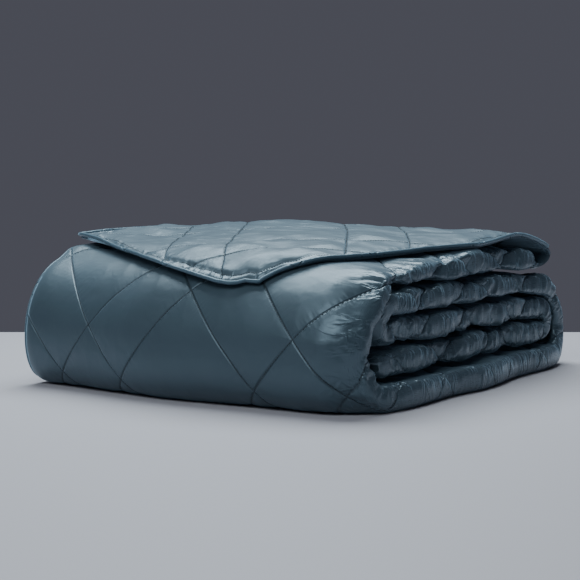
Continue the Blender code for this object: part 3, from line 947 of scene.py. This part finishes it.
def satin_group():
    """The satin's fine threads, and its soft creases, over the cloth's own coordinates."""
    tree, source, result = shader_group(
        "satin_face", [("Cloth", "NodeSocketVector")],
        [("Threads", "NodeSocketFloat"), ("Creases", "NodeSocketFloat"), ("Tone", "NodeSocketFloat")])
    x, y = split_vector(tree, source.outputs["Cloth"])
    long_way = scaled_vector(tree, x, y, 1900.0, 90.0)
    feed(tree, result.inputs["Threads"], noise_texture(tree, long_way, 1.0, 1.0))
    creased = noise_texture(tree, source.outputs["Cloth"], 42.0, 3.0, 0.45, 0.6)
    ridged = maths(tree, "ABSOLUTE", maths(tree, "SUBTRACT", creased, 0.5))
    feed(tree, result.inputs["Creases"], ramp(tree, ridged, 0.0, 0.16, 1.0, 0.0))
    feed(tree, result.inputs["Tone"], noise_texture(tree, source.outputs["Cloth"], 9.0, 2.0))
    return tree


def satin_height(tree, uv, seams, look, gather):
    """The satin's relief: grooves and puckers at seams, folds at gathers, creases and threads."""
    distance, along = seams.outputs["Distance"], seams.outputs["Along"]
    groove = ramp(tree, distance, 0.0, GROOVE_WIDE, -GROOVE_DEEP, 0.0)
    pucker_at = scaled_vector(tree, along, distance, 125.0, 26.0)
    pucker = maths(tree, "SUBTRACT", noise_texture(tree, pucker_at, 1.0, 1.0), 0.5)
    pucker = maths(tree, "MULTIPLY", pucker, ramp(tree, distance, 0.001, 0.017, PUCKER_HIGH, 0.0))
    pucker = maths(tree, "MULTIPLY", pucker, ramp(tree, gather, 0.0, 0.5, 0.3, 1.0))

    fold_at = scaled_vector(tree, *split_vector(tree, uv), 32.0, 75.0)
    folds = maths(tree, "SUBTRACT", noise_texture(tree, fold_at, 1.0, 2.0, 0.5, 0.8), 0.5)
    folds = ramp(tree, maths(tree, "ABSOLUTE", folds), 0.0, 0.14, FOLD_HIGH, 0.0)
    patches = ramp(tree, noise_texture(tree, uv, 30.0, 1.0), 0.38, 0.62, 0.1, 1.0)
    folds = maths(tree, "MULTIPLY", folds, maths(tree, "MULTIPLY", gather, patches))

    creases = maths(tree, "MULTIPLY", look.outputs["Creases"], CREASE_HIGH)
    threads = maths(tree, "MULTIPLY", look.outputs["Threads"], THREADS_HIGH)
    height = groove
    for part in (pucker, folds, creases, threads):
        height = maths(tree, "ADD", height, part)
    return height


def satin_colour(tree, colour, distance, tone):
    """The satin's colour, a little uneven, with painted shade darkening it in the seams' grooves."""
    even = mixed_colour(tree, tone, toned(colour, 1 - TONE_SPREAD), toned(colour, 1 + TONE_SPREAD))
    # painted shade: the colour darkens towards the middle of each seam's groove
    painted_seam_shade = ramp(tree, distance, 0.0003, GROOVE_WIDE, 0.55, 0.0)
    return mixed_colour(tree, painted_seam_shade, even, toned(colour, SEAM_SHADE_TONE))


def satin_roughness(tree, roughness, gather, threads):
    """The satin's roughness, lower where it is gathered, and uneven from thread to thread."""
    smoother = ramp(tree, gather, 0.0, 0.7, roughness, roughness - GATHERED_SHINE)
    uneven = maths(tree, "MULTIPLY_ADD", threads, THREADS_SHINE, -THREADS_SHINE / 2)
    return maths(tree, "ADD", smoother, uneven)


def satin(name, colour, roughness, seams, face):
    """Satin: its seams' grooves and puckers, creases and threads, on a smooth, sheeny surface."""
    material, tree, shader = new_material(name)
    cloth = tree.nodes.new("ShaderNodeUVMap")
    cloth.uv_map = "cloth"
    quilt = tree.nodes.new("ShaderNodeGroup")
    quilt.node_tree = seams
    look = tree.nodes.new("ShaderNodeGroup")
    look.node_tree = face
    for node in (quilt, look):
        feed(tree, node.inputs["Cloth"], cloth.outputs["UV"])
    attribute = tree.nodes.new("ShaderNodeAttribute")
    attribute.attribute_name = "gather"
    gather = attribute.outputs["Fac"]

    bump = tree.nodes.new("ShaderNodeBump")
    feed(tree, bump.inputs["Height"], satin_height(tree, cloth.outputs["UV"], quilt, look, gather))
    bump.inputs["Distance"].default_value = 1.0
    feed(tree, shader.inputs["Normal"], bump.outputs["Normal"])
    shade = satin_colour(tree, colour, quilt.outputs["Distance"], look.outputs["Tone"])
    feed(tree, shader.inputs["Base Color"], shade)
    rough = satin_roughness(tree, roughness, gather, look.outputs["Threads"])
    feed(tree, shader.inputs["Roughness"], rough)
    shader.inputs["Specular IOR Level"].default_value = 0.9
    shader.inputs["Specular Tint"].default_value = SPECULAR_TINT
    shader.inputs["Sheen Weight"].default_value = 0.42
    shader.inputs["Sheen Roughness"].default_value = 0.35
    shader.inputs["Sheen Tint"].default_value = SHEEN_TINT
    return material


def thread_material():
    material, tree, shader = new_material("sewing_thread")
    place = tree.nodes.new("ShaderNodeTexCoord")
    tone = noise_texture(tree, place.outputs["Object"], 900.0, 1.0)
    low, high = (toned(THREAD_COLOUR, share) for share in (1 - THREAD_SPREAD, 1 + THREAD_SPREAD))
    feed(tree, shader.inputs["Base Color"], mixed_colour(tree, tone, low, high))
    shader.inputs["Roughness"].default_value = THREAD_ROUGHNESS
    return material


def finish_piece(piece, material, slot, *nodes):
    piece.data.materials.append(material)
    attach(piece, "root")
    if nodes:
        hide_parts(*nodes)
    return piece


def binding_tube(name, centres, outwards, upwards):
    """A corded binding along these centres, closed at both ends."""
    turns = np.linspace(0, 2 * math.pi, BINDING_SIDES + 1)
    ring = outwards[:, None] * (BINDING_WIDE / 2 * np.cos(turns))[None, :, None]
    ring = ring + upwards[:, None] * (BINDING_THICK / 2 * np.sin(turns))[None, :, None]
    points = centres[:, None] + ring
    first, last = (np.repeat(centres[row][None, None], BINDING_SIDES + 1, axis=1) for row in (0, -1))
    points = np.concatenate([first, points, last])
    steps = np.linalg.norm(np.diff(points[:, 0], axis=0), axis=1)
    along = np.concatenate([[0], np.cumsum(steps)])[:, None] * np.ones((1, BINDING_SIDES + 1))
    uvs = np.stack([turns[None] * BINDING_THICK / 2 + 4.0 + 0 * along, along], axis=-1)
    return grid_mesh(name, points, uvs, {"gather": np.zeros(points.shape[:2])})


def edge_line(low, high, inside):
    """Where a binding lies beside a hem: its centres and its outward and upward directions."""
    middle = (low + high) / 2
    along = unit(np.gradient(middle, axis=0))
    up = unit(high - low)
    out = middle - inside
    out = out - along * (out * along).sum(axis=1)[:, None]
    out = unit(out - up * (out * up).sum(axis=1)[:, None])
    return middle + out * (BINDING_WIDE / 2 - BINDING_SUNK), out, up


def bind_layers(path, foot, trim):
    """The corded bindings of the two sheets' side edges, wound with the layers."""
    columns = ring_columns(INNER_FINE, INNER_FINE)
    stations = np.arange(0.03, path.total - 0.06, BINDING_STEP)
    points = layer_surface(path, stations, columns, foot, LAYER_SEED).points
    side, _, slit = (np.array(values) for values in zip(*columns))
    for sign, name in ((1, "binding_outer_sheet"), (-1, "binding_inner_sheet")):
        inner = int(np.flatnonzero((side == sign) & (slit == 1))[0])
        outer = int(np.flatnonzero((side == sign) & (slit == 2))[0])
        beside = outer - 2 * sign
        line = edge_line(points[:, inner], points[:, outer], points[:, beside])
        piece = binding_tube("corded_" + name, *line)
        finish_piece(piece, trim, "satin_binding", name)


def bind_flap(grid, trim):
    """The corded binding round the flap's three free edges."""
    tip = flap_top() - 2
    front = list(range(tip, 1, -2))
    runs = (
        (grid[6::2, tip], grid[6::2, tip - 5]),
        (grid[-1, front], grid[-6, front]),
        (grid[:5:-2, 1], grid[:5:-2, 6]),
    )
    edges = np.concatenate([edge for edge, _ in runs])
    outs = np.concatenate([unit(edge - inside) for edge, inside in runs])
    along = unit(np.gradient(edges, axis=0))
    up = unit(np.cross(along, outs))
    out = np.cross(up, along)
    centres = edges + out * (BINDING_WIDE / 2 - BINDING_SUNK)
    piece = binding_tube("corded_binding_flap", centres, out, up)
    finish_piece(piece, trim, "satin_binding", "binding_flap")


def add_light(lamp):
    light = bpy.data.lights.new(lamp.name, "AREA")
    light.shape = "ELLIPSE"
    light.size, light.size_y = lamp.size
    light.energy = lamp.power
    light.color = lamp.colour
    obj = add_object(lamp.name, light)
    obj.location = lamp.spot
    way = Vector(LIGHT_AIM) - Vector(lamp.spot)
    obj.rotation_euler = way.to_track_quat("-Z", "Y").to_euler()


def make_floor():
    """A pale floor, square to the camera, that ends a little behind the blanket."""
    bm = bmesh.new()
    bmesh.ops.create_grid(bm, x_segments=1, y_segments=1, size=FLOOR_HALF)
    bmesh.ops.translate(bm, verts=bm.verts, vec=(0, FLOOR_FAR - FLOOR_HALF, 0))
    turn = Matrix.Rotation(CAMERA_TURN, 3, "Z")
    bmesh.ops.rotate(bm, verts=bm.verts, cent=(0, 0, 0), matrix=turn)
    data = mesh_from(bm, "floor")
    material, _, shader = new_material("pale_floor")
    shader.inputs["Base Color"].default_value = (*FLOOR_COLOUR, 1)
    shader.inputs["Roughness"].default_value = FLOOR_ROUGHNESS
    data.materials.append(material)
    floor = add_object("floor", data)


def make_studio():
    make_floor()
    world = bpy.data.worlds.new("studio")
    world.use_nodes = True
    background = world.node_tree.nodes["Background"]
    background.inputs["Color"].default_value = (*BACKDROP_COLOUR, 1)
    background.inputs["Strength"].default_value = 1.0
    bpy.context.scene.world = world
    for lamp in LIGHTS:
        add_light(lamp)


def make_camera():
    data = bpy.data.cameras.new("camera")
    data.lens = LENS
    data.sensor_width = SENSOR
    camera = add_object("camera", data)
    camera.location = CAMERA + ORIGIN
    camera.rotation_euler = (math.pi / 2 - CAMERA_DOWN, 0, CAMERA_TURN)
    bpy.context.scene.camera = camera


def make_layers(path, foot, cloth, thread):
    """The wound layers in four stretches, each swollen and sewn."""
    under, base = path.row_start(5), path.row_start(7)
    stretches = (
        ("inner_layers", 0.004, under, INNER_FINE),
        ("back_fold", under, base, BOUND_END_X),
        ("base_layer", base, foot - 0.02, INNER_FINE),
        ("front_and_top", foot - 0.02, path.total, BOUND_END_X),
    )
    for name, start, end, fine in stretches:
        piece, skin = layer_piece(name, path, start, end, foot, fine)
        puff(piece, LAYER_PUFF)
        finish_piece(piece, cloth, "satin_cloth", "quilt")
        sew_layers("stitches_" + name, skin, grid_places(piece, skin.points), fine, thread)


def make_flap(path, cloth, thread):
    """The turned flap, swollen and sewn. Its skin's grid comes back for the binding."""
    flap, skin, edges = flap_piece("turned_flap", path)
    puff(flap, FLAP_PUFF)
    finish_piece(flap, cloth, "satin_cloth", "quilt")
    sew_flap("stitches_turned_flap", skin, edges, grid_places(flap, skin.points), thread)
    return skin.points[1:-1]


def main():
    make_camera()
    make_studio()
    seams, face = quilting_group(), satin_group()
    cloth = satin("satin_cloth", CLOTH_COLOUR, CLOTH_ROUGHNESS, seams, face)
    trim = satin("satin_binding", TRIM_COLOUR, TRIM_ROUGHNESS, seams, face)
    thread = thread_material()
    path = Path(START, INNER_LAYERS + OUTER_LAYERS, BAND)
    foot = path.row_start(len(INNER_LAYERS))
    turned = Path(tuple(path.points[-1]), FLAP_LAYERS, path.values[-1][0])
    make_layers(path, foot, cloth, thread)
    flap_grid = make_flap(turned, cloth, thread)
    bind_layers(path, foot, trim)
    bind_flap(flap_grid, trim)


main()
